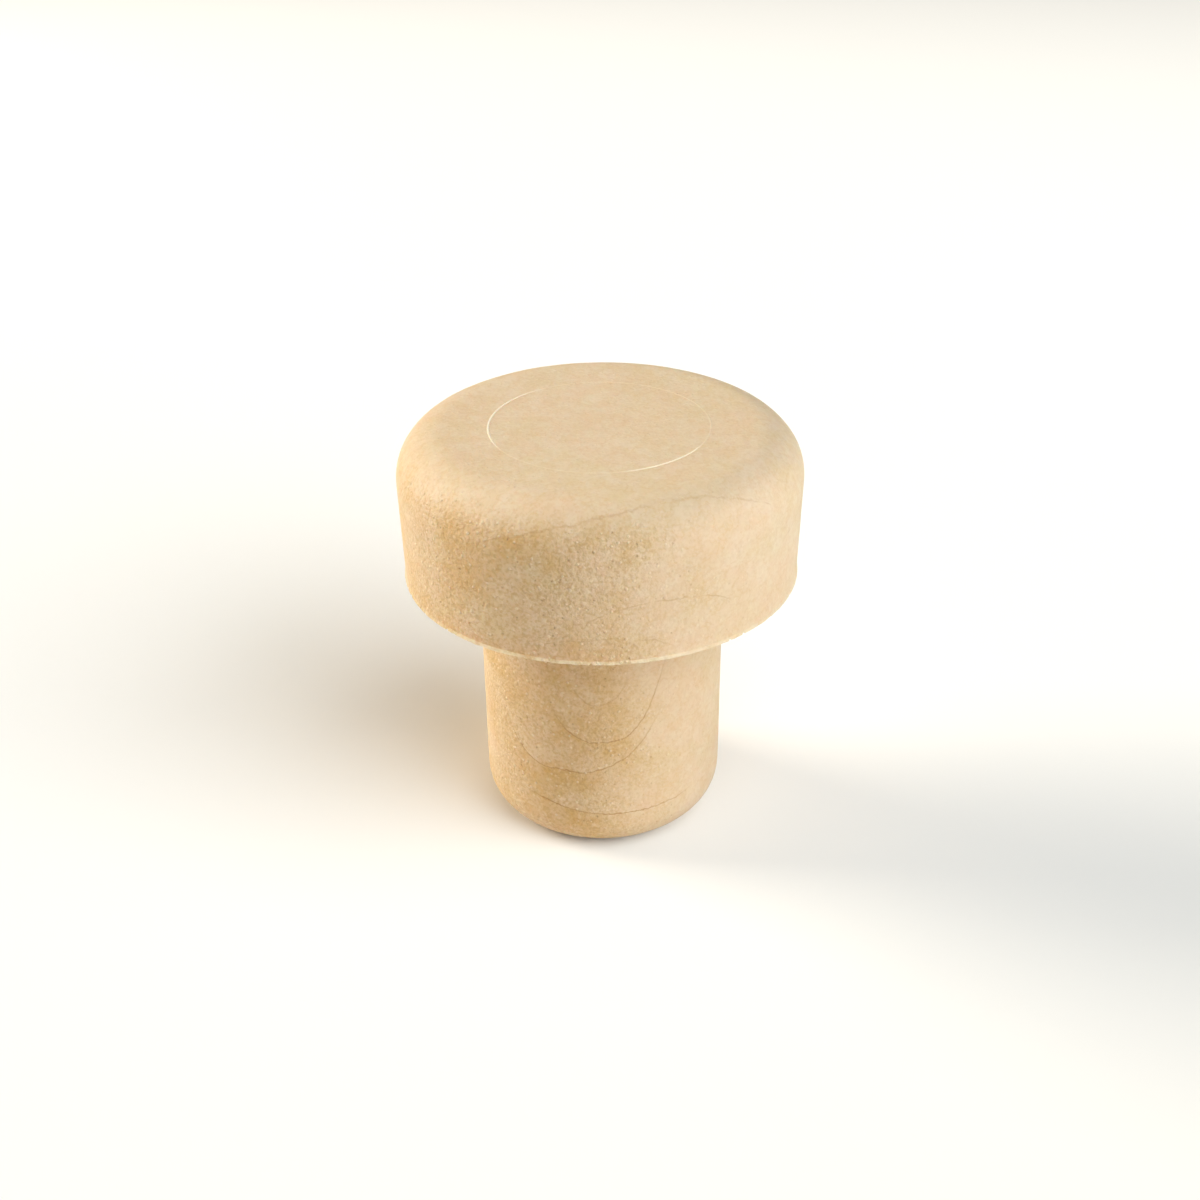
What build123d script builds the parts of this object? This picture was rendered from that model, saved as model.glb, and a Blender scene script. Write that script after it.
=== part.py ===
from build123d import *
import math
import os

# One-piece moulded T-shaped synthetic stopper for a wine bottle.
#
# A plain cylindrical shank plugs the bottle's neck, and a wide round head seats on the mouth and
# gives the hand something to pull. Both are one foamed moulding, so the whole stopper is one
# turned solid. The frame has +Z up the axis, with the origin at the middle of the shank's foot.

# Driving dimensions, in millimetres.
SHANK_RADIUS = 9.75        # plugs an 18.5 mm bore by squeezing about half a millimetre a side
SHANK_LENGTH = 22.0        # foot to the underside of the head
FOOT_ROUND = 3.4           # the rounded lead-in round the shank's foot
NECK_FILLET = 0.5          # inner corner between shank and head

HEAD_RADIUS = 15.45        # at the underside
HEAD_HEIGHT = 11.7         # underside to the flat top
HEAD_FLARE = 0.2           # how much wider the head's side is where the top round begins
TOP_ROUND = 3.7            # the soft edge round the top

SEAM_HEIGHT = 0.22         # moulding seam round the head's lower edge
SEAM_PROUD = 0.07

RING_RADIUS = 8.45         # witness line that the mould's insert leaves on the top
RING_WIDTH = 0.22
RING_PROUD = 0.06

NODE = "stopper"


def arc_middle(centre, radius, angle):
    """Point on a circle of the section plane, at an angle in degrees from the radial direction."""
    turn = math.radians(angle)
    return (centre[0] + radius * math.cos(turn), centre[1] + radius * math.sin(turn))


def shank_outline():
    """Section of the shank, from its foot on the axis to the underside of the head."""
    foot_centre = (SHANK_RADIUS - FOOT_ROUND, FOOT_ROUND)
    Line((0, 0), (foot_centre[0], 0))
    ThreePointArc(
        (foot_centre[0], 0),
        arc_middle(foot_centre, FOOT_ROUND, -45),
        (SHANK_RADIUS, FOOT_ROUND),
    )
    neck_centre = (SHANK_RADIUS + NECK_FILLET, SHANK_LENGTH - NECK_FILLET)
    Line((SHANK_RADIUS, FOOT_ROUND), (SHANK_RADIUS, neck_centre[1]))
    ThreePointArc(
        (SHANK_RADIUS, neck_centre[1]),
        arc_middle(neck_centre, NECK_FILLET, 135),
        (neck_centre[0], SHANK_LENGTH),
    )
    return neck_centre[0], SHANK_LENGTH


def seam_outline(start):
    """Section of the underside and the moulding seam on its outer edge."""
    outer = (HEAD_RADIUS + SEAM_PROUD, SHANK_LENGTH)
    side = (HEAD_RADIUS, SHANK_LENGTH + SEAM_HEIGHT)
    bulge = (HEAD_RADIUS + SEAM_PROUD, SHANK_LENGTH + SEAM_HEIGHT / 2)
    Line(start, outer)
    ThreePointArc(outer, bulge, side)
    return side


def side_outline(start, top):
    """Section of the head's flaring side and the round up to its flat top."""
    widest = HEAD_RADIUS + HEAD_FLARE
    centre = (widest - TOP_ROUND, top - TOP_ROUND)
    Line(start, (widest, centre[1]))
    ThreePointArc(
        (widest, centre[1]),
        arc_middle(centre, TOP_ROUND, 45),
        (centre[0], top),
    )
    return centre[0], top


def top_outline(start, top):
    """Section of the flat top with its raised witness line, back to the axis."""
    outer = (RING_RADIUS + RING_WIDTH / 2, top)
    inner = (RING_RADIUS - RING_WIDTH / 2, top)
    Line(start, outer)
    ThreePointArc(outer, (RING_RADIUS, top + RING_PROUD), inner)
    Line(inner, (0, top))


def make_stopper():
    """The whole moulding, turned about the Z axis from its half section."""
    top = SHANK_LENGTH + HEAD_HEIGHT
    with BuildPart() as stopper:
        with BuildSketch(Plane.XZ):
            with BuildLine():
                underside = shank_outline()
                side = seam_outline(underside)
                shoulder = side_outline(side, top)
                top_outline(shoulder, top)
                Line((0, top), (0, 0))
            make_face()
        revolve(axis=Axis.Z)
    return stopper.part


def main():
    """Build the stopper and write its STEP file."""
    os.makedirs("parts", exist_ok=True)
    export_step(make_stopper(), f"parts/{NODE}.step")


main()
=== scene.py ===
"""Finished look of a one-piece moulded stopper for a wine bottle.

The stopper is a single foamed moulding: a plain shank and a wide round head, with a pale,
wood-like colour, thin brown growth lines and a fine sandy skin. Sizes are in metres, with +Z up
the stopper's axis, the shank's foot on the floor and -Y towards the viewer.
"""

import logging
import math
from dataclasses import dataclass, field, fields
from enum import Enum
from typing import Any, ClassVar, Union

import bpy
from mathutils import Matrix, Vector

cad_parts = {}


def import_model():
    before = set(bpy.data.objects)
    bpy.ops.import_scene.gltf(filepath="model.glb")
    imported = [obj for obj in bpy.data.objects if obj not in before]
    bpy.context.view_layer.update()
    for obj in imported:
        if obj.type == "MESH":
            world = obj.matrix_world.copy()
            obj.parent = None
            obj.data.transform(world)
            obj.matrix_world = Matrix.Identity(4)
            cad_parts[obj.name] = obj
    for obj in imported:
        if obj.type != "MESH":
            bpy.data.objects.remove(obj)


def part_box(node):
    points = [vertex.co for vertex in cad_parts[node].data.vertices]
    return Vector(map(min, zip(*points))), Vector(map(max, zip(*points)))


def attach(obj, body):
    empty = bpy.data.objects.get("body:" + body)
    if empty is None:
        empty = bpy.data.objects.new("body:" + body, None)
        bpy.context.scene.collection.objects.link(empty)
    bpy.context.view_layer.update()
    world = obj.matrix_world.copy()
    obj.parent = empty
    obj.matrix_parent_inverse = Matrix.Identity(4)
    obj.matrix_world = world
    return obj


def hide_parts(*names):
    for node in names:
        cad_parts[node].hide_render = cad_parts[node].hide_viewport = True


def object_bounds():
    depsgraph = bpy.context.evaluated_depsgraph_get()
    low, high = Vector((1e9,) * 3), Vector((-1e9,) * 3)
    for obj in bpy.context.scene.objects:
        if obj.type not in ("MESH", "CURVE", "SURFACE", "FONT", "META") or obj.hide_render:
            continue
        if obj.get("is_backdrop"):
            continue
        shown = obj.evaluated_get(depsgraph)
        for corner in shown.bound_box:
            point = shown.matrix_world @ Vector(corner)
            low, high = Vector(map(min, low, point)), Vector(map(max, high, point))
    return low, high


MM = 0.001
HALF = 0.5
LOG = logging.getLogger("stopper")


class Signal:
    """A node's output that adds Math nodes to its tree when it is used in an expression."""

    def __init__(self, graph: "Graph", socket: bpy.types.NodeSocket) -> None:
        """Keep the output socket and the graph that it belongs to."""
        self.graph = graph
        self.socket = socket

    def __add__(self, other: "Number") -> "Signal":
        """Sum of this signal and a number or signal."""
        return self.graph.maths("ADD", self, other)

    def __sub__(self, other: "Number") -> "Signal":
        """This signal less a number or signal."""
        return self.graph.maths("SUBTRACT", self, other)

    def __rsub__(self, other: "Number") -> "Signal":
        """A number less this signal."""
        return self.graph.maths("SUBTRACT", other, self)

    def __mul__(self, other: "Number") -> "Signal":
        """Product of this signal and a number or signal."""
        return self.graph.maths("MULTIPLY", self, other)

    def __truediv__(self, other: "Number") -> "Signal":
        """This signal divided by a number or signal."""
        return self.graph.maths("DIVIDE", self, other)

    def __pow__(self, other: "Number") -> "Signal":
        """This signal raised to a power."""
        return self.graph.maths("POWER", self, other)

    def __neg__(self) -> "Signal":
        """This signal with its sign turned."""
        return self.graph.maths("MULTIPLY", self, -1.0)

    def __abs__(self) -> "Signal":
        """Size of this signal without its sign."""
        return self.graph.maths("ABSOLUTE", self)

    def __gt__(self, other: "Number") -> "Signal":
        """One where this signal is above a number or signal, otherwise zero."""
        return self.graph.maths("GREATER_THAN", self, other)

    __radd__ = __add__
    __rmul__ = __mul__


Number = Union[Signal, float]
Colour = tuple[float, float, float, float]


class Graph:
    """Adds nodes and links to one node tree."""

    def __init__(self, tree: bpy.types.NodeTree) -> None:
        """Keep the node tree that this graph adds to."""
        self.tree = tree

    def node(self, kind: str, settings: dict[str, Any], sockets: dict[Any, Any]) -> bpy.types.Node:
        """Add a node of any type.

        Args:
            kind: the node's type.
            settings: the node's own properties, which are set first.
            sockets: a value, a Signal or an output socket for each input, by name or index.

        Returns:
            The new node.
        """
        made = self.tree.nodes.new(kind)
        for name, value in settings.items():
            setattr(made, name, value)
        for key, value in sockets.items():
            source = value.socket if isinstance(value, Signal) else value
            if isinstance(source, bpy.types.NodeSocket):
                self.tree.links.new(source, made.inputs[key])
            else:
                made.inputs[key].default_value = source
        return made

    def signal(
        self, kind: str, settings: dict[str, Any], sockets: dict[Any, Any], output: Any = 0
    ) -> Signal:
        """Add a node and return one of its outputs.

        Args:
            kind: the node's type.
            settings: the node's own properties.
            sockets: a value or link for each input.
            output: the output's name or index.

        Returns:
            That output as a Signal.
        """
        return Signal(self, self.node(kind, settings, sockets).outputs[output])

    def maths(self, operation: str, *values: Number, clamp: bool = False) -> Signal:
        """Add a Math node.

        Args:
            operation: the Math node's operation.
            values: one to three numbers or signals.
            clamp: whether the result is kept between 0 and 1.

        Returns:
            The result.
        """
        settings = {"operation": operation, "use_clamp": clamp}
        return self.signal("ShaderNodeMath", settings, dict(enumerate(values)))

    def largest(self, *values: Number) -> Signal:
        """The largest of two or more numbers and signals."""
        best = values[0]
        for value in values[1:]:
            best = self.maths("MAXIMUM", best, value)
        return best

    def clamped(self, value: Signal) -> Signal:
        """The value, kept between 0 and 1."""
        return self.maths("ADD", value, 0.0, clamp=True)

    def ramp(self, value: Signal, low: Number, high: Number) -> Signal:
        """Rise smoothly from 0 to 1 as a value goes from low to high.

        Args:
            value: the value that is followed.
            low: the value at which the ramp leaves 0.
            high: the value at which the ramp reaches 1; it may be below low.

        Returns:
            The ramp's height.
        """
        sockets = {"Value": value, "From Min": low, "From Max": high}
        return self.signal("ShaderNodeMapRange", {"interpolation_type": "SMOOTHSTEP"}, sockets)

    def lifted(self, mask: Signal, least: float) -> Signal:
        """The mask, squeezed so that it starts from a least value and still ends at 1."""
        return mask * (1.0 - least) + least

    def scaled(self, vector: Signal, factor: Number) -> Signal:
        """The vector times a number."""
        return self.signal("ShaderNodeVectorMath", {"operation": "SCALE"}, {0: vector, "Scale": factor})

    def vector(self, x: Number, y: Number, z: Number) -> Signal:
        """A vector from its three parts."""
        return self.signal("ShaderNodeCombineXYZ", {}, {"X": x, "Y": y, "Z": z})

    def blend(self, share: Number, first: Any, second: Any) -> Signal:
        """Mix two colours.

        Args:
            share: how much of the second colour shows.
            first: the colour underneath.
            second: the colour that is laid on it.

        Returns:
            The mixed colour.
        """
        return self.signal("ShaderNodeMix", {"data_type": "RGBA"}, {0: share, 6: first, 7: second}, 2)

    def noise(self, place: Signal, grain: float, detail: float, seed: Number, rough: float) -> Signal:
        """Soft noise between 0 and 1.

        Args:
            place: the coordinates, in the same unit as grain.
            grain: the width of one bump of the noise.
            detail: how many finer layers it has.
            seed: picks another pattern.
            rough: how strong the finer layers are.

        Returns:
            The noise.
        """
        sockets = {"Vector": place, "W": seed, "Scale": 1.0 / grain, "Detail": detail, "Roughness": rough}
        return self.signal("ShaderNodeTexNoise", {"noise_dimensions": "4D"}, sockets)


@dataclass(frozen=True)
class Straight:
    """A straight stretch of a turned section, given by how far it runs across and up."""

    across: Number
    up: Number

    def run(self, graph: Graph, share: Signal) -> tuple[Signal, Signal]:
        """How far the stretch has run across and up at a share of its rows."""
        return share * self.across, share * self.up


@dataclass(frozen=True)
class Curved:
    """A stretch of a turned section along an ellipse, from one angle in degrees to another."""

    across: Number
    up: Number
    start: float
    end: float

    def run(self, graph: Graph, share: Signal) -> tuple[Signal, Signal]:
        """How far the stretch has run across and up at a share of its rows."""
        first = math.radians(self.start)
        angle = share * (math.radians(self.end) - first) + first
        across = (graph.maths("COSINE", angle) - math.cos(first)) * self.across
        up = (graph.maths("SINE", angle) - math.sin(first)) * self.up
        return across, up


@dataclass(frozen=True)
class Layer:
    """One layer of soft noise, and the two values of it between which its mask rises.

    The width of one bump is in the unit of the coordinates that the noise is read at. The mask
    turns the other way round where `low` is above `high`.
    """

    width: float
    detail: float
    rough: float
    seed: float
    low: float = 0.0
    high: float = 1.0

    def raw(self, graph: Graph, place: Signal, start: Number = 0.0) -> Signal:
        """The noise itself, between 0 and 1, with its seed counted from a start."""
        return graph.noise(place, self.width, self.detail, self.seed + start, self.rough)

    def sharpened(self, graph: Graph, noise: Signal) -> Signal:
        """The noise, spread out to run from 0 at its low value to 1 at its high value."""
        return graph.ramp(noise, self.low, self.high)

    def mask(self, graph: Graph, place: Signal, start: Number = 0.0) -> Signal:
        """The noise at a place, sharpened, with its seed counted from a start."""
        return self.sharpened(graph, self.raw(graph, place, start))

    def swing(self, graph: Graph, place: Signal, reach: float) -> Signal:
        """The noise, centred on 0 and spread to a reach."""
        return (self.raw(graph, place) - HALF) * reach


@dataclass(frozen=True)
class Specks:
    """Tiny round specks, one to a cell. Cells are in mm, and a speck's radius is a share of one."""

    cell: float
    radius: float
    share: float
    core: float = 0.4

    def mask(self, graph: Graph, place: Signal) -> Signal:
        """Scatter the specks.

        Args:
            graph: the material's graph.
            place: the coordinates in mm.

        Returns:
            One at the core of each speck, fading to zero at its edge.
        """
        node = graph.node("ShaderNodeTexVoronoi", {}, {"Vector": place, "Scale": 1.0 / self.cell})
        distance = Signal(graph, node.outputs["Distance"])
        pick = graph.signal("ShaderNodeSeparateColor", {}, {0: node.outputs["Color"]})
        return graph.ramp(distance, self.radius, self.radius * self.core) * (self.share - pick > 0.0)


@dataclass(frozen=True)
class Arc:
    """A stretch round the axis: its middle, and how far from that it fades out, in degrees."""

    centre: float
    reach: float
    core: float = 0.3

    def share(self, graph: Graph, angle: Signal) -> Signal:
        """How much of the arc's effect there is at an angle, in radians from the front."""
        away = graph.maths("COSINE", angle - math.radians(self.centre))
        edge = math.radians(self.reach)
        return graph.ramp(away, math.cos(edge), math.cos(edge * self.core))


def on_arcs(graph: Graph, angle: Signal, arcs: tuple[Arc, ...]) -> Signal:
    """The largest share of several arcs at an angle, in radians from the front."""
    return graph.largest(*(arc.share(graph, angle) for arc in arcs))


class Bend(Enum):
    """Which way a growth line turns at its middle."""

    BOWL = 1.0
    ARCH = -1.0


@dataclass(frozen=True)
class GrowthLine:
    """A thin brown line round the side of the moulding, like a growth ring in a turned block.

    The line has its lowest or highest point at an angle from the front, in degrees to the
    viewer's right. It has moved `spread` mm up or down once it is `left` or `right` mm away along
    the surface, and it fades out where it has gone `reach_left` or `reach_right` times as far.
    """

    bend: Bend
    centre: float
    level: float
    left: float
    right: float
    power: float = 2.0
    reach_left: float = 1.2
    reach_right: float = 1.2
    weight: float = 1.0


HEAD_LINES = (
    GrowthLine(Bend.ARCH, 22.0, 33.4, 12.9, 8.2, reach_left=1.9, reach_right=1.6, weight=0.48),
    GrowthLine(Bend.ARCH, 17.0, 26.9, 6.9, 6.5, reach_left=1.1, reach_right=1.1, weight=0.6),
    GrowthLine(Bend.ARCH, 3.0, 24.05, 8.3, 6.0, reach_left=0.9, reach_right=0.9, weight=0.5),
    GrowthLine(Bend.ARCH, 128.0, 31.2, 14.0, 11.0, reach_left=1.5, reach_right=1.6),
    GrowthLine(Bend.ARCH, 120.0, 27.4, 8.0, 9.5, reach_left=1.3, reach_right=1.3, weight=0.8),
    GrowthLine(Bend.BOWL, 182.0, 24.3, 9.0, 12.0, reach_left=1.5, reach_right=1.4),
    GrowthLine(Bend.BOWL, 190.0, 28.2, 7.0, 8.0, reach_left=1.2, reach_right=1.3, weight=0.7),
    GrowthLine(Bend.ARCH, 250.0, 30.6, 9.0, 12.5, reach_left=1.5, reach_right=1.3, weight=0.9),
    GrowthLine(Bend.ARCH, 262.0, 25.6, 8.0, 7.0, reach_left=1.2, reach_right=1.1, weight=0.7),
)

SHANK_LINES = (
    GrowthLine(Bend.BOWL, -1.0, 11.15, 3.44, 3.44, 3.0, 1.25, 1.75),
    GrowthLine(Bend.BOWL, -21.0, 8.08, 4.15, 5.95, 3.0, 1.25, 1.5),
    GrowthLine(Bend.BOWL, 16.0, 4.2, 12.5, 10.0, 2.2, 0.95, 0.55),
    GrowthLine(Bend.BOWL, -3.0, 14.6, 2.1, 2.4, 2.6, 1.1, 1.2, weight=0.4),
    GrowthLine(Bend.ARCH, 104.0, 15.8, 4.6, 5.4, 2.4, 1.5, 1.5, weight=0.9),
    GrowthLine(Bend.ARCH, 98.0, 10.6, 3.4, 4.2, 2.4, 1.5, 1.4),
    GrowthLine(Bend.ARCH, 100.0, 6.2, 2.6, 3.0, 2.2, 1.2, 1.2, weight=0.7),
    GrowthLine(Bend.BOWL, 186.0, 9.4, 4.0, 3.6, 3.0, 1.4, 1.3),
    GrowthLine(Bend.BOWL, 178.0, 5.8, 6.2, 5.0, 2.6, 1.2, 1.3, weight=0.8),
    GrowthLine(Bend.ARCH, 262.0, 14.2, 4.4, 4.0, 2.6, 1.3, 1.5, weight=0.9),
    GrowthLine(Bend.ARCH, 256.0, 18.6, 6.0, 5.2, 2.4, 1.2, 1.2, weight=0.7),
)


@dataclass(frozen=True)
class SkinPoint:
    """Where a point of the skin is, as signals: lengths in mm, and the angle in radians."""

    place: Signal
    angle: Signal
    height: Signal
    from_axis: Signal
    on_head: Signal


@dataclass(frozen=True)
class Paint:
    """How much of its colour each part of the pattern lays on, between 0 and 1. Beads lay painted glints,
    coarse grains partly so, and seam and ring lay painted highlights.
    """

    patches: float = 0.6
    curls: float = 0.17
    grain: float = 0.5
    coarse: float = 0.3
    lines: float = 0.6
    pits: float = 0.4
    beads: float = 0.55
    # seam and ring lay painted highlights; the seam's is partly the lip's own paler colour
    seam: float = 0.5
    ring: float = 0.85


@dataclass(frozen=True)
class StainAndShade:
    """How strong the ochre is in each of its places, between 0 and 1. It is partly the figure's own
    stain, and partly painted shade on the sandy sides, which lie between the lamps, and a painted shadow
    under the head.

    The power gathers the ochre of the sandy sides towards their middles.
    """

    # painted shade: even ochre on the sandy sides, which lie between the lamps
    sandy: float = 0.25
    sandy_flow: float = 0.34
    sandy_shade: float = 0.24
    sandy_power: float = 1.5
    flow: float = 0.05
    # painted shadow on the shank under the head's overhang
    shadow_under_head: float = 0.13
    shank: float = 0.04


@dataclass(frozen=True)
class Relief:
    """How far each part of the pattern stands out or in, as a share of a depth in mm."""

    depth: float = 0.15
    grain: float = 0.9
    coarse: float = 0.6
    beads: float = 0.5
    pits: float = 0.5
    lines: float = 0.03


@dataclass(frozen=True)
class FoamFinish:
    """The moulding's skin: blond foam with a wood-like figure, sandy grain, pits, and painted glints,
    highlights and shade.

    Lengths are in mm and angles in degrees from the front. A pair of lengths says where a part of
    the pattern starts and where it is at its full strength.
    """

    name: str = "cork_foam_skin"

    blond: Colour = (0.79, 0.65, 0.48, 1.0)
    peach: Colour = (0.77, 0.585, 0.4, 1.0)
    straw: Colour = (0.75, 0.59, 0.385, 1.0)
    ochre: Colour = (0.65, 0.405, 0.15, 1.0)
    tan: Colour = (0.52, 0.31, 0.11, 1.0)
    vein: Colour = (0.43, 0.21, 0.06, 1.0)
    # pale: colour of the seam's lip and of the painted highlights on it and on the witness line
    pale: Colour = (0.97, 0.87, 0.68, 1.0)
    # glint: colour of painted highlights on the beads and the coarse grains
    glint: Colour = (0.92, 0.77, 0.54, 1.0)
    pit: Colour = (0.42, 0.25, 0.11, 1.0)

    clouds: Layer = Layer(4.5, 3.0, 0.5, 1.0, 0.38, 0.62)
    patches: Layer = Layer(1.3, 4.0, 0.65, 2.0, 0.42, 0.6)
    flow: Layer = Layer(4.0, 4.0, 0.6, 6.0, 0.4, 0.62)
    curls: Layer = Layer(1.5, 4.0, 0.6, 12.0)
    grain: Layer = Layer(0.27, 2.0, 0.6, 4.0, 0.58, 0.34)
    coarse: Layer = Layer(0.45, 2.0, 0.6, 8.0, 0.56, 0.7)
    # raised specks that carry painted glints
    beads: Specks = Specks(0.55, 0.27, 0.5)
    pits: Specks = Specks(0.6, 0.2, 0.4)
    curl_width: float = 0.035

    sway: Layer = Layer(2.6, 2.0, 0.5, 3.0)
    sway_reach: float = 0.8
    jitter: Layer = Layer(0.4, 2.0, 0.5, 5.0)
    jitter_reach: float = 0.4
    gaps: Layer = Layer(1.4, 3.0, 0.6, 9.0, 0.4, 0.58)
    faintest: float = 0.2
    shank_gaps: float = 0.6
    shank_least: float = 0.7
    line_width: float = 0.1
    line_core: float = 0.55
    shade_width: float = 2.4
    spread: float = 2.0
    line_end: tuple[float, float] = (0.02, 0.6)

    sandy_side: float = -34.0
    sandy_sides: float = 2.0
    sandy_sway: float = 0.5
    sandy_edge: float = 0.9
    sandy_least: float = 0.25
    shoulder: tuple[float, float] = (0.1, 2.4)
    # how far down the shank the painted shadow under the head reaches, in mm
    shadow_under_head: float = 4.0

    # The seam's lip is painted pale: partly its own paler flash, partly a painted highlight along the
    # arcs where the lamps catch it. The witness line gets a painted highlight.
    seam_slack: float = 0.05
    seam_highlight_arcs: tuple[Arc, ...] = (Arc(-12.0, 47.0), Arc(158.0, 47.0))
    seam_gaps: Layer = Layer(1.1, 1.0, 0.5, 0.0, 0.3, 0.6)
    seam_level: float = 0.04
    seam_edge: tuple[float, float] = (0.2, 0.08)
    seam_inset: float = 0.2
    seam_highlight_swell: float = 0.7
    seam_least: float = 0.15
    ring_edge: tuple[float, float] = (0.13, 0.03)
    ring_inset: float = 0.2
    ring_least: float = 0.15

    paint: Paint = Paint()
    stain: StainAndShade = StainAndShade()
    relief: Relief = Relief()
    roughness: float = 0.6
    grain_roughness: float = 0.3
    bead_gloss: float = 0.1
    ior: float = 1.45
    specular: float = 0.4
    glow: float = 0.3
    glow_reach: tuple[float, float, float] = (2.5, 1.0, 0.4)

    def make(self, sizes: "StopperSizes") -> bpy.types.Material:
        """Build the material.

        Args:
            sizes: the stopper's sizes, which place the figure on it.

        Returns:
            The material.
        """
        material = bpy.data.materials.new(self.name)
        material.use_nodes = True
        material.node_tree.nodes.clear()
        graph = Graph(material.node_tree)
        at = self.skin_point(graph, sizes)
        line, shade = self.growth(graph, at, sizes)
        clouds = self.clouds.mask(graph, at.place)
        sandy = self.sandiness(graph, at, sizes, clouds)
        stain = self.staining(graph, at, sizes, shade, sandy)
        grain = self.grain.raw(graph, at.place)
        coarse = self.coarse.raw(graph, at.place)
        bead = self.beads.mask(graph, at.place)
        pit = self.pits.mask(graph, at.place)

        colour = graph.blend(clouds, self.peach, self.straw)
        colour = graph.blend(self.patches.mask(graph, at.place) * self.paint.patches, colour, self.blond)
        # ochre: the figure's stain, partly painted shade and a painted shadow
        colour = graph.blend(stain, colour, self.ochre)
        # darker tan grain, laid most on the sandy sides
        tan_grain = self.grain.sharpened(graph, grain)
        colour = graph.blend(tan_grain * self.paint.grain * sandy, colour, self.tan)
        # pale coarse grains, partly painted glints
        sand_and_glints = self.coarse.sharpened(graph, coarse)
        colour = graph.blend(sand_and_glints * self.paint.coarse * sandy, colour, self.glint)
        colour = graph.blend(line * self.paint.lines, colour, self.vein)
        colour = graph.blend(pit * self.paint.pits * sandy, colour, self.pit)
        # painted glints on the beads
        colour = graph.blend(bead * self.paint.beads * sandy, colour, self.glint)
        # pale lip, with painted highlights on the seam and the witness line
        colour = graph.blend(self.pale_edges_and_highlights(graph, at, sizes), colour, self.pale)

        relief = self.relief
        rise = grain * relief.grain + coarse * relief.coarse + bead * relief.beads - pit * relief.pits
        height = rise * sandy - line * relief.lines
        bump = {"Strength": 1.0, "Distance": relief.depth * MM, "Height": height}
        skin = {
            "Base Color": colour,
            "Roughness": self.roughness + (grain - HALF) * self.grain_roughness - bead * self.bead_gloss,
            "Normal": graph.signal("ShaderNodeBump", {}, bump),
            "IOR": self.ior,
            "Specular IOR Level": self.specular,
            "Subsurface Weight": self.glow,
            "Subsurface Radius": self.glow_reach,
            "Subsurface Scale": 1.0 * MM,
        }
        shader = graph.signal("ShaderNodeBsdfPrincipled", {}, skin)
        graph.node("ShaderNodeOutputMaterial", {}, {"Surface": shader})
        return material

    def skin_point(self, graph: Graph, sizes: "StopperSizes") -> SkinPoint:
        """Read where a point of the skin is.

        Args:
            graph: the material's graph.
            sizes: the stopper's sizes.

        Returns:
            The point.
        """
        coordinates = graph.signal("ShaderNodeTexCoord", {}, {}, "Object")
        place = graph.scaled(coordinates, 1.0 / MM)
        parts = graph.node("ShaderNodeSeparateXYZ", {}, {0: place})
        across, depth, height = (Signal(graph, socket) for socket in parts.outputs)
        return SkinPoint(
            place=place,
            angle=graph.maths("ARCTAN2", across, -depth),
            height=height,
            from_axis=graph.maths("SQRT", across * across + depth * depth),
            on_head=height > (sizes.shank_length / MM - self.seam_slack),
        )

    def growth(self, graph: Graph, at: SkinPoint, sizes: "StopperSizes") -> tuple[Signal, Signal]:
        """Draw the growth lines of head and shank, which wander and break up.

        Args:
            graph: the material's graph.
            at: the point of the skin.
            sizes: the stopper's sizes.

        Returns:
            How dark the lines are, and how dark the soft shade under them is.
        """
        sway = self.sway.swing(graph, at.place, self.sway_reach)
        level = at.height + (sway + self.jitter.swing(graph, at.place, self.jitter_reach))
        head, shank = sizes.head_radius / MM, sizes.shank_radius / MM
        head_line, head_shade = self.figure(graph, HEAD_LINES, at.angle, level, head)
        shank_line, shank_shade = self.figure(graph, SHANK_LINES, at.angle, level, shank)
        start, full = (sizes.top / MM - drop for drop in self.line_end)
        below_top = graph.ramp(at.height, start, full)
        broken = graph.lifted(self.gaps.mask(graph, at.place), self.faintest)
        on_shank = 1.0 - at.on_head
        head_line = head_line * at.on_head * below_top * broken
        shank_line = shank_line * on_shank * (broken * self.shank_gaps + self.shank_least)
        return head_line + shank_line, head_shade * at.on_head * below_top + shank_shade * on_shank

    def sandiness(self, graph: Graph, at: SkinPoint, sizes: "StopperSizes", clouds: Signal) -> Signal:
        """How sandy the skin is: most at two opposite sides, least at the others and on the top.

        Args:
            graph: the material's graph.
            at: the point of the skin.
            sizes: the stopper's sizes.
            clouds: the mask that sways the edges of the sandy sides.

        Returns:
            The sandiness, from its least value to 1.
        """
        # the front sandy side falls in the darker band between the lamps, and the ochre laid with
        # sandiness is partly painted shade there
        sides = graph.maths("COSINE", (at.angle - math.radians(self.sandy_side)) * self.sandy_sides)
        swayed = sides + (clouds - HALF) * self.sandy_sway
        start, full = (sizes.top / MM - drop for drop in self.shoulder)
        below_top = graph.ramp(at.height, start, full)
        sandy = graph.ramp(swayed, -self.sandy_edge, self.sandy_edge)
        return graph.lifted(sandy * below_top, self.sandy_least)

    def staining(
        self, graph: Graph, at: SkinPoint, sizes: "StopperSizes", shade: Signal, sandy: Signal
    ) -> Signal:
        """How much ochre there is: the figure's own stain, painted shade on the sandy sides and a painted
        shadow under the head.

        Args:
            graph: the material's graph.
            at: the point of the skin.
            sizes: the stopper's sizes.
            shade: the soft shade under the growth lines.
            sandy: how sandy the skin is.

        Returns:
            The ochre, between 0 and 1.
        """
        strength = self.stain
        flow = self.flow.mask(graph, at.place)
        on_shank = 1.0 - at.on_head
        neck = sizes.shank_length / MM
        # painted shadow: ochre darkening on the shank just under the head
        shadow_under_head = graph.ramp(at.height, neck - self.shadow_under_head, neck) * on_shank
        curl = graph.ramp(abs(self.curls.raw(graph, at.place) - HALF), self.curl_width, 0.0)
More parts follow.
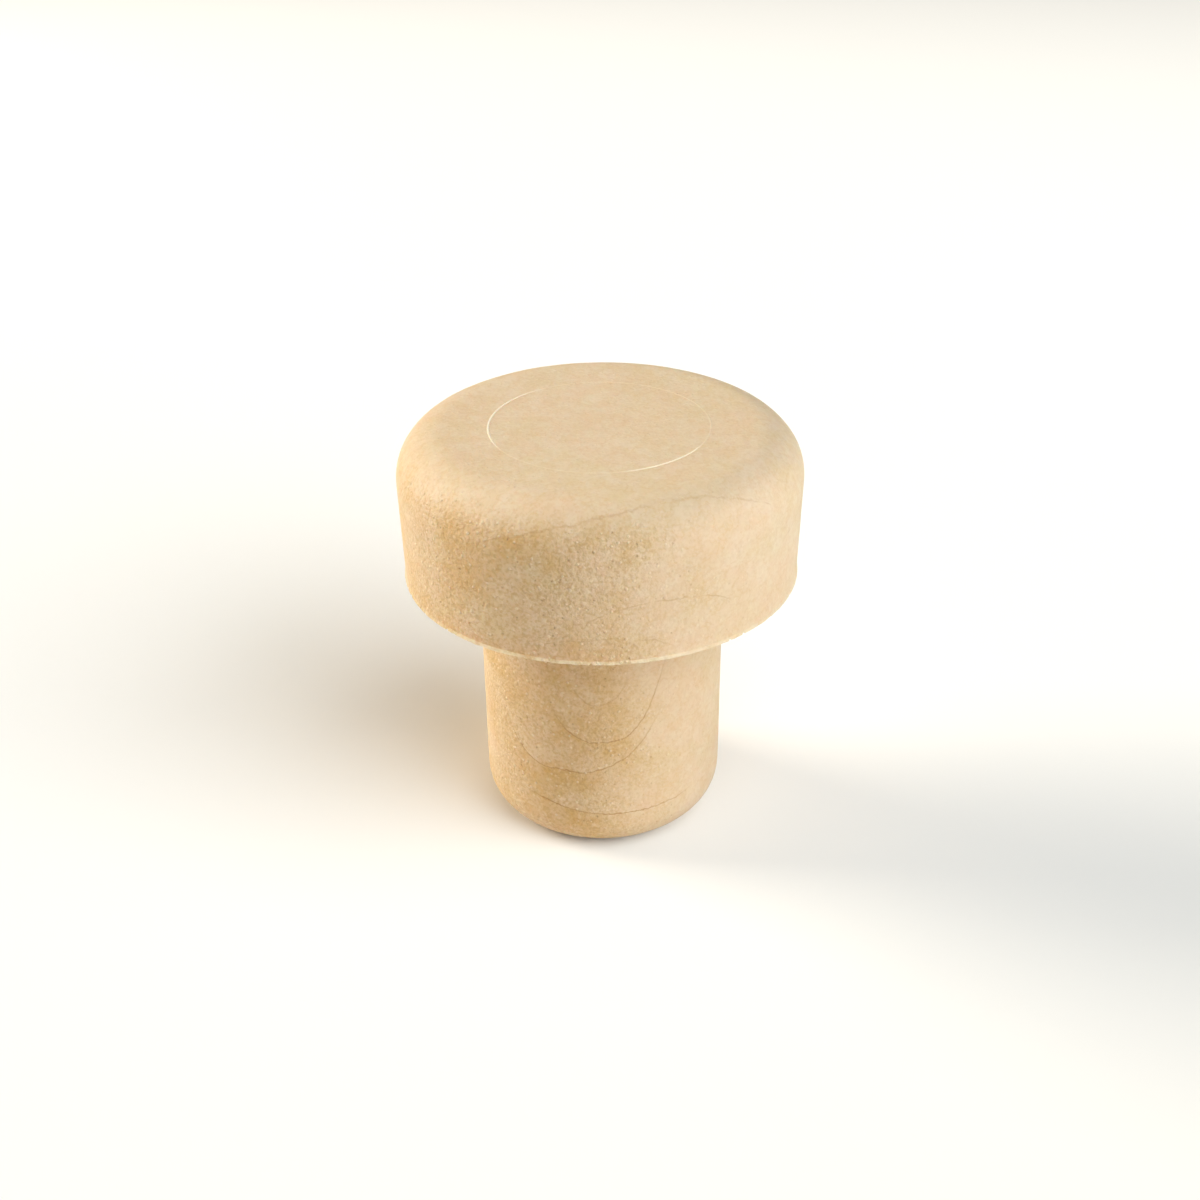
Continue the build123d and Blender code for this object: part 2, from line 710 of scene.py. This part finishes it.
        # the figure's ochre, with painted shade on the sandy sides
        stain = flow * strength.sandy_flow + shade * strength.sandy_shade + strength.sandy
        stain = stain * sandy ** strength.sandy_power + flow * strength.flow
        stain = stain + shadow_under_head * strength.shadow_under_head + on_shank * strength.shank
        return stain + curl * self.paint.curls

    def pale_edges_and_highlights(self, graph: Graph, at: SkinPoint, sizes: "StopperSizes") -> Signal:
        """How pale the seam's lip and the witness line are: painted highlights along their lit arcs, and
        the lip's own paler colour.

        Args:
            graph: the material's graph.
            at: the point of the skin.
            sizes: the stopper's sizes.

        Returns:
            The paleness, between 0 and 1.
        """
        from_seam = abs(at.height - (sizes.shank_length / MM + self.seam_level))
        outside = at.from_axis > sizes.head_radius / MM - self.seam_inset
        seam = graph.ramp(from_seam, *self.seam_edge) * outside * self.seam_gaps.mask(graph, at.place)
        # painted highlight: the lip is much paler along the arcs where the lamps catch it
        seam = seam * (on_arcs(graph, at.angle, self.seam_highlight_arcs) * self.seam_highlight_swell + self.seam_least)
        from_ring = abs(at.from_axis - sizes.ring_radius / MM)
        on_top = at.height > sizes.top / MM - self.ring_inset
        # painted highlight on the witness line, strongest along the arcs where the lamps catch its bead
        arcs = graph.lifted(on_arcs(graph, at.angle, sizes.ring_arcs), self.ring_least)
        ring = graph.ramp(from_ring, *self.ring_edge) * on_top * arcs
        return seam * self.paint.seam + ring * self.paint.ring

    def figure(
        self, graph: Graph, lines: tuple[GrowthLine, ...], angle: Signal, height: Signal, radius: float
    ) -> tuple[Signal, Signal]:
        """Draw growth lines round a side of the moulding.

        Args:
            graph: the material's graph.
            lines: the lines to draw.
            angle: the angle round the axis, in radians from the front.
            height: the height on the stopper, in mm.
            radius: the side's radius, in mm.

        Returns:
            How dark the lines are, and how dark the soft shade under each line is.
        """
        dark, soft = 0.0, 0.0
        for line in lines:
            turn = graph.maths("WRAP", angle - math.radians(line.centre), math.pi, -math.pi)
            right = turn > 0.0
            width = right * (line.right - line.left) + line.left
            reach = right * (line.reach_right - line.reach_left) + line.reach_left
            run = abs(turn) * radius / width
            moved = run ** line.power * (self.spread * line.bend.value) + line.level
            slope = run ** (line.power - 1.0) * (self.spread * line.power) / width
            below = (moved - height) / graph.maths("SQRT", slope * slope + 1.0)
            fade = graph.ramp(run, reach, reach * self.line_core) * line.weight
            dark = graph.largest(graph.ramp(abs(below), self.line_width, 0.0) * fade, dark)
            shaded = graph.ramp(below, self.shade_width, 0.0) * (below > 0.0)
            soft = graph.largest(shaded * fade, soft)
        return dark, soft


@dataclass(frozen=True)
class StopperSizes:
    """Sizes of the moulding, in metres."""

    shank_radius: float = 9.75 * MM
    shank_length: float = 22.0 * MM
    foot_round: float = 3.4 * MM
    neck_fillet: float = 0.5 * MM
    head_radius: float = 15.45 * MM
    head_height: float = 11.7 * MM
    head_flare: float = 0.2 * MM
    top_round: float = 3.7 * MM
    seam_height: float = 0.2 * MM
    seam_proud: float = 0.08 * MM
    seam_drop: float = 0.16 * MM
    ring_radius: float = 8.45 * MM
    ring_width: float = 0.18 * MM
    ring_proud: float = 0.06 * MM
    skin_depth: float = 0.02 * MM
    dent_depth: float = 0.05 * MM

    # arcs where the witness line stands prouder; the skin also paints the line's highlight along them
    ring_arcs: ClassVar[tuple[Arc, ...]] = (Arc(-105.0, 46.0), Arc(37.0, 30.0))

    @property
    def top(self) -> float:
        """Height of the flat top."""
        return self.shank_length + self.head_height


@dataclass(frozen=True)
class SeamWear:
    """The fray and the nicks of the seam's lip, with widths as shares of the head's radius."""

    fray: Layer = Layer(0.055, 3.0, 0.7, 0.0)
    nicks: Layer = Layer(0.022, 1.0, 0.5, 11.0, 0.62, 0.72)
    gather: float = 5.0
    nick_rise: float = 0.9
    nick_depth: float = 0.8


@dataclass
class Stopper:
    """The whole stopper: shank and head in one closed moulding."""

    sizes: StopperSizes = field(default_factory=StopperSizes)
    finish: FoamFinish = field(default_factory=FoamFinish)
    segments: int = 720
    seed: int = 7
    sharp: float = math.radians(27.0)
    merge_gap: float = 0.0004 * MM
    ring_least: float = 0.25
    wear: SeamWear = SeamWear()
    waves: Layer = Layer(0.8, 2.0, 0.6, 0.0)
    dents: Layer = Layer(5.0, 1.0, 0.5, 3.0)
    rows: dict[str, int] = field(default_factory=lambda: {
        "foot": 5, "foot_round": 12, "shank": 40, "neck": 4, "underside": 6, "seam": 6,
        "side": 26, "top_round": 18, "top_rim": 4, "ring": 6, "top": 6,
    })

    @staticmethod
    def size_names() -> list[str]:
        """The names of the sizes, in the order of the tree's inputs."""
        return [size.name for size in fields(StopperSizes)]

    def build(self) -> bpy.types.Object:
        """Make the moulding's mesh and dress it.

        Returns:
            The finished piece.
        """
        material = self.finish.make(self.sizes)
        tree = bpy.data.node_groups.new("turned_moulding", "GeometryNodeTree")
        inputs = self.named_inputs(tree)
        self.lay_out(tree, material)
        piece = bpy.data.objects.new("stopper_body", bpy.data.meshes.new("stopper_blank"))
        bpy.context.scene.collection.objects.link(piece)
        modifier = piece.modifiers.new("turning", "NODES")
        modifier.node_group = tree
        for identifier, value in inputs.items():
            modifier[identifier] = value
        evaluated = piece.evaluated_get(bpy.context.evaluated_depsgraph_get())
        mesh = bpy.data.meshes.new_from_object(evaluated)
        piece.modifiers.clear()
        piece.data = mesh
        mesh.name = "stopper_body"
        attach(piece, "root")
        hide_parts("stopper")
        return piece

    def named_inputs(self, tree: bpy.types.NodeTree) -> dict[str, Any]:
        """Give the tree its output and one named input for each size.

        Args:
            tree: the node tree.

        Returns:
            The value for each input, by the input's identifier.
        """
        tree.interface.new_socket("Geometry", in_out="OUTPUT", socket_type="NodeSocketGeometry")
        values = {}
        for name in self.size_names():
            label = name.replace("_", " ").capitalize()
            socket = tree.interface.new_socket(label, in_out="INPUT", socket_type="NodeSocketFloat")
            values[socket.identifier] = getattr(self.sizes, name)
        socket = tree.interface.new_socket("Segments", in_out="INPUT", socket_type="NodeSocketInt")
        values[socket.identifier] = self.segments
        socket = tree.interface.new_socket("Seed", in_out="INPUT", socket_type="NodeSocketInt")
        values[socket.identifier] = self.seed
        return values

    def section(self, size: dict[str, Signal]) -> dict[str, Union[Straight, Curved]]:
        """The half section, from the middle of the foot round to the middle of the top.

        Args:
            size: the tree's inputs, by name.

        Returns:
            The stretches of the section in order, each by its name.
        """
        foot_flat = size["shank_radius"] - size["foot_round"]
        shank_rise = size["shank_length"] - size["foot_round"] - size["neck_fillet"]
        overhang = size["head_radius"] + size["seam_proud"] - size["shank_radius"] - size["neck_fillet"]
        side_rise = size["head_height"] - size["seam_height"] - size["top_round"]
        half_ring = size["ring_width"] * 0.5
        shoulder = size["head_radius"] + size["head_flare"] - size["top_round"]
        return {
            "foot": Straight(foot_flat, 0.0),
            "foot_round": Curved(size["foot_round"], size["foot_round"], -90.0, 0.0),
            "shank": Straight(0.0, shank_rise),
            "neck": Curved(size["neck_fillet"], size["neck_fillet"], 180.0, 90.0),
            "underside": Straight(overhang, 0.0),
            "seam": Curved(size["seam_proud"], size["seam_height"], 0.0, 90.0),
            "side": Straight(size["head_flare"], side_rise),
            "top_round": Curved(size["top_round"], size["top_round"], 0.0, 90.0),
            "top_rim": Straight(size["ring_radius"] + half_ring - shoulder, 0.0),
            "ring": Curved(half_ring, size["ring_proud"], 0.0, 180.0),
            "top": Straight(half_ring - size["ring_radius"], 0.0),
        }

    def lay_out(self, tree: bpy.types.NodeTree, material: bpy.types.Material) -> None:
        """Build the tree that turns the section, raises the seam and roughens the skin.

        Args:
            tree: the node tree, with its inputs.
            material: the material of the moulding.
        """
        graph = Graph(tree)
        entry = graph.node("NodeGroupInput", {}, {})
        names = self.size_names() + ["segments", "seed"]
        size = {name: Signal(graph, entry.outputs[index]) for index, name in enumerate(names)}
        worked = self.roughened(graph, size, self.turned(graph, size))
        shaded = self.shaded(graph, worked)
        real = graph.signal("GeometryNodeRealizeInstances", {}, {"Geometry": shaded})
        dressed = graph.signal("GeometryNodeSetMaterial", {}, {"Geometry": real, "Material": material})
        graph.node("NodeGroupOutput", {}, {"Geometry": dressed})

    def turned(self, graph: Graph, size: dict[str, Signal]) -> Signal:
        """Bend a flat grid into the turned body, with one row of it for each step of the section.

        Args:
            graph: the tree's graph.
            size: the tree's inputs, by name.

        Returns:
            The closed body, with its seam frayed and nicked.
        """
        rows = sum(self.rows.values())
        around = size["segments"] + 1.0
        sheet = {"Size X": 1.0, "Size Y": 1.0, "Vertices X": rows + 1, "Vertices Y": around}
        grid = graph.signal("GeometryNodeMeshGrid", {}, sheet, "Mesh")
        flat = graph.signal("GeometryNodeInputPosition", {}, {})
        at = graph.node("ShaderNodeSeparateXYZ", {}, {0: flat})
        row = (Signal(graph, at.outputs["X"]) + HALF) * float(rows)
        turn = Signal(graph, at.outputs["Y"]) * -math.tau
        sine = graph.maths("SINE", turn)
        cosine = graph.maths("COSINE", turn)

        arcs = graph.lifted(on_arcs(graph, turn, self.sizes.ring_arcs), self.ring_least)
        raised = {**size, "ring_proud": size["ring_proud"] * arcs}
        radius, height = 0.0, 0.0
        share, first = {}, 0
        for name, stretch in self.section(raised).items():
            share[name] = graph.clamped((row - float(first)) / float(self.rows[name]))
            across, up = stretch.run(graph, share[name])
            radius = across + radius
            height = up + height
            first += self.rows[name]

        rim = graph.vector(sine, cosine, 0.0)
        fray = self.wear.fray.raw(graph, rim, size["seed"])
        nick = self.wear.nicks.mask(graph, rim, size["seed"])
        lip = share["underside"] ** self.wear.gather * (1.0 - share["seam"])
        height = height - lip * size["seam_drop"] * (fray - nick * self.wear.nick_rise)
        radius = radius - lip * size["seam_proud"] * nick * self.wear.nick_depth

        place = graph.vector(radius * sine, -(radius * cosine), height)
        shaped = graph.signal("GeometryNodeSetPosition", {}, {"Geometry": grid, "Position": place})
        merge = {"Geometry": shaped, "Distance": self.merge_gap}
        return graph.signal("GeometryNodeMergeByDistance", {}, merge)

    def roughened(self, graph: Graph, size: dict[str, Signal], body: Signal) -> Signal:
        """Press the skin's waves and dents into the body.

        Args:
            graph: the tree's graph.
            size: the tree's inputs, by name.
            body: the turned body.

        Returns:
            The body, moved inwards only.
        """
        in_mm = graph.scaled(graph.signal("GeometryNodeInputPosition", {}, {}), 1.0 / MM)
        skin = self.waves.raw(graph, in_mm, size["seed"]) * size["skin_depth"]
        dents = self.dents.raw(graph, in_mm, size["seed"]) * size["dent_depth"]
        inwards = graph.scaled(graph.signal("GeometryNodeInputNormal", {}, {}), -(skin + dents))
        return graph.signal("GeometryNodeSetPosition", {}, {"Geometry": body, "Offset": inwards})

    def shaded(self, graph: Graph, body: Signal) -> Signal:
        """Shade the body smooth, but for the edges that turn by more than the sharp angle.

        Args:
            graph: the tree's graph.
            body: the finished body.

        Returns:
            The shaded body.
        """
        crease = graph.signal("GeometryNodeInputMeshEdgeAngle", {}, {}, "Unsigned Angle")
        soft = graph.signal("GeometryNodeSetShadeSmooth", {"domain": "FACE"}, {"Geometry": body})
        creased = {"Geometry": soft, "Selection": crease > self.sharp, "Shade Smooth": False}
        return graph.signal("GeometryNodeSetShadeSmooth", {"domain": "EDGE"}, creased)


@dataclass(frozen=True)
class PaleFinish:
    """Matt, near-white board for the floor."""

    name: str = "pale_board"
    shade: Colour = (0.95, 0.935, 0.9, 1.0)

    def make(self) -> bpy.types.Material:
        """Build the material."""
        material = bpy.data.materials.new(self.name)
        material.use_nodes = True
        material.node_tree.nodes.clear()
        graph = Graph(material.node_tree)
        shader = graph.signal("ShaderNodeBsdfDiffuse", {}, {"Color": self.shade, "Roughness": 1.0})
        graph.node("ShaderNodeOutputMaterial", {}, {"Surface": shader})
        return material


@dataclass(frozen=True)
class Softbox:
    """A soft square lamp that faces the stopper. Its azimuth is in degrees from the front."""

    name: str
    azimuth: float
    elevation: float
    distance: float
    width: float
    power: float
    colour: tuple[float, float, float]

    def place(self, target: Vector) -> None:
        """Hang the lamp.

        Args:
            target: the point that the lamp faces.
        """
        turn, lift = math.radians(self.azimuth), math.radians(self.elevation)
        flat = math.cos(lift)
        towards = Vector((math.sin(turn) * flat, -math.cos(turn) * flat, math.sin(lift)))
        lamp = bpy.data.lights.new(self.name, "AREA")
        lamp.shape = "SQUARE"
        lamp.size = self.width
        lamp.energy = self.power
        lamp.color = self.colour
        holder = bpy.data.objects.new(self.name, lamp)
        holder.location = target + towards * self.distance
        holder.rotation_euler = towards.to_track_quat("Z", "Y").to_euler()
        holder.visible_camera = False
        bpy.context.scene.collection.objects.link(holder)


@dataclass
class Studio:
    """The pale floor, the soft light and the camera."""

    floor_radius: float = 0.46
    floor_corners: int = 96
    world_shade: Colour = (1.0, 1.0, 1.0, 1.0)
    world_strength: float = 1.0
    finish: PaleFinish = field(default_factory=PaleFinish)
    lamps: tuple[Softbox, ...] = (
        Softbox("left_lamp", -108.0, 22.0, 0.5, 0.24, 3.15, (1.0, 0.92, 0.79)),
        Softbox("right_lamp", 61.0, 26.0, 0.6, 0.6, 2.28, (0.93, 0.97, 1.0)),
        Softbox("high_lamp", 45.0, 50.0, 0.6, 0.6, 2.5, (0.94, 0.98, 1.0)),
        Softbox("top_lamp", 0.0, 88.0, 0.5, 0.38, 0.2, (1.0, 0.98, 0.95)),
    )

    def build(self) -> None:
        """Set out the floor, the lamps and the white surroundings."""
        self.lay_floor()
        low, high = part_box("stopper")
        for lamp in self.lamps:
            lamp.place((low + high) * HALF)
        self.surround()
        bpy.context.scene.view_settings.view_transform = "Standard"

    def surround(self) -> None:
        """Make the white surroundings, which the camera sees but which light nothing."""
        world = bpy.data.worlds.new("studio")
        world.use_nodes = True
        world.node_tree.nodes.clear()
        graph = Graph(world.node_tree)
        sky = {"Color": self.world_shade, "Strength": self.world_strength}
        light = graph.signal("ShaderNodeBackground", {}, sky)
        graph.node("ShaderNodeOutputWorld", {}, {"Surface": light})
        world.cycles_visibility.diffuse = False
        world.cycles_visibility.glossy = False
        bpy.context.scene.world = world

    def lay_floor(self) -> None:
        """Make the round floor at the height of the stopper's foot."""
        mesh = bpy.data.meshes.new("floor")
        corners = range(self.floor_corners)
        radius = self.floor_radius
        turns = [math.tau * corner / self.floor_corners for corner in corners]
        edge = [(radius * math.cos(turn), radius * math.sin(turn), 0.0) for turn in turns]
        mesh.from_pydata(edge, [], [tuple(corners)])
        mesh.materials.append(self.finish.make())
        floor = bpy.data.objects.new("floor", mesh)
        bpy.context.scene.collection.objects.link(floor)
        floor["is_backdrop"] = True


@dataclass(frozen=True)
class Viewpoint:
    """The camera, close above the stopper and looking down at it."""

    back: float = 111.71 * MM
    up: float = 83.1 * MM
    pitch: float = 0.5256
    yaw: float = -0.0011
    roll: float = -0.0122
    lens: float = 48.067
    film: float = 36.0

    def set_up(self) -> bpy.types.Object:
        """Make the camera and use it for the scene.

        Returns:
            The camera.
        """
        ahead = Vector((math.sin(self.yaw), math.cos(self.yaw), 0.0)) * math.cos(self.pitch)
        ahead.z = -math.sin(self.pitch)
        level = Vector((math.cos(self.yaw), -math.sin(self.yaw), 0.0))
        above = level.cross(ahead)
        right = level * math.cos(self.roll) + above * math.sin(self.roll)
        top = above * math.cos(self.roll) - level * math.sin(self.roll)
        camera = bpy.data.cameras.new("camera")
        camera.lens = self.lens
        camera.sensor_width = self.film
        camera.clip_start = 1.0 * MM
        holder = bpy.data.objects.new("camera", camera)
        turned = Matrix((right, top, -ahead)).transposed()
        holder.matrix_world = Matrix.Translation((0.0, -self.back, self.up)) @ turned.to_4x4()
        bpy.context.scene.collection.objects.link(holder)
        bpy.context.scene.camera = holder
        return holder


def as_lists(box: Any) -> list[list[float]]:
    """A box's corners as plain lists of numbers."""
    return [[float(part) for part in corner] for corner in box]


def main() -> list[list[float]]:
    """Build the scene.

    Returns:
        The CAD model's box, as it was loaded.
    """
    logging.basicConfig(level=logging.INFO, format="%(name)s: %(message)s")
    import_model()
    cad_box = as_lists(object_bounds())
    camera = Viewpoint().set_up()
    LOG.info("camera %s", camera.name)
    Studio().build()
    LOG.info("studio floor and lamps")
    piece = Stopper().build()
    LOG.info("%s with %d faces", piece.name, len(piece.data.polygons))
    return cad_box


if __name__ == "__main__":
    loaded_box = main()
